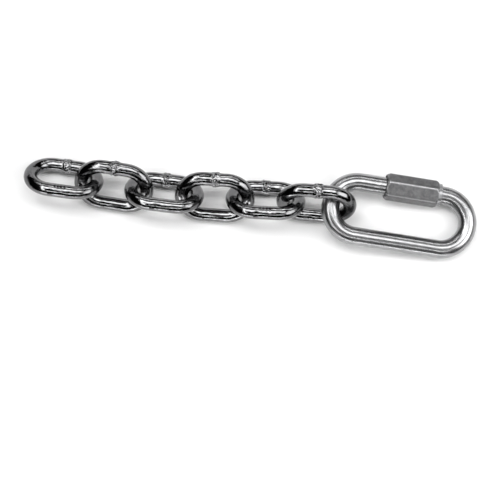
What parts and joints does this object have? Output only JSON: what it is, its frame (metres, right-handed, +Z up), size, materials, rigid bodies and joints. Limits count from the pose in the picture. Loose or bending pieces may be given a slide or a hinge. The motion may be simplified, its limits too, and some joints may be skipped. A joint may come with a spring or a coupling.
{
  "type": "safety chain",
  "caption": "Short safety chain: welded steel links hang from an oval quick link whose gate is a long hexagonal sleeve nut.",
  "frame": {"origin": "on the floor, under the middle of the object as it lies stretched out", "axes": "+Z up; +X from the free end link to the quick link; +Y towards the nut's side of the quick link"},
  "size_m": [0.2379, 0.0402, 0.0286],
  "materials": {
    "rod_steel": "polished bare steel with fine drawing lines",
    "nut_steel": "milled steel, matte and mottled, with bright corners",
    "chain_steel": "bright zinc plate over drawn wire, dull around the welds"
  },
  "bodies": {
    "quick_link": {"quick_link_body": "rod_steel"},
    "nut": {"sleeve_nut": "nut_steel"},
    "link_1": {"chain_link_1": "chain_steel"},
    "link_2": {"chain_link_2": "chain_steel"},
    "link_3": {"chain_link_3": "chain_steel"},
    "link_4": {"chain_link_4": "chain_steel"},
    "link_5": {"chain_link_5": "chain_steel"},
    "link_6": {"chain_link_6": "chain_steel"}
  },
  "joints": [
    {"name": "nut_slide", "type": "slide", "parent": "quick_link", "child": "nut", "axis": [-0.9936, 0, 0.1133], "range_m": [0, 0.0135]},
    {"name": "link_1_swing", "type": "hinge", "parent": "quick_link", "child": "link_1", "pos_m": [0.04164, -0.00129, 0.01313], "axis": [0.022, -0.9822, 0.1867], "range_deg": [-90, 90]},
    {"name": "link_2_swing", "type": "hinge", "parent": "link_1", "child": "link_2", "pos_m": [0.01687, -0.00259, 0.01392], "axis": [-0.0422, 0.5648, 0.8242], "range_deg": [-90, 90]},
    {"name": "link_3_swing", "type": "hinge", "parent": "link_2", "child": "link_3", "pos_m": [-0.00953, -0.0049, 0.01233], "axis": [0.0555, -0.7049, 0.7071], "range_deg": [-90, 90]},
    {"name": "link_4_swing", "type": "hinge", "parent": "link_3", "child": "link_4", "pos_m": [-0.03596, -0.00674, 0.01158], "axis": [-0.0308, 0.7063, 0.7072], "range_deg": [-90, 90]},
    {"name": "link_5_swing", "type": "hinge", "parent": "link_4", "child": "link_5", "pos_m": [-0.06246, -0.00721, 0.01233], "axis": [0, 0.7071, -0.7072], "range_deg": [-90, 90]},
    {"name": "link_6_swing", "type": "hinge", "parent": "link_5", "child": "link_6", "pos_m": [-0.08896, -0.00674, 0.01158], "axis": [0.0062, 0.7071, 0.7071], "range_deg": [-90, 90]}
  ]
}
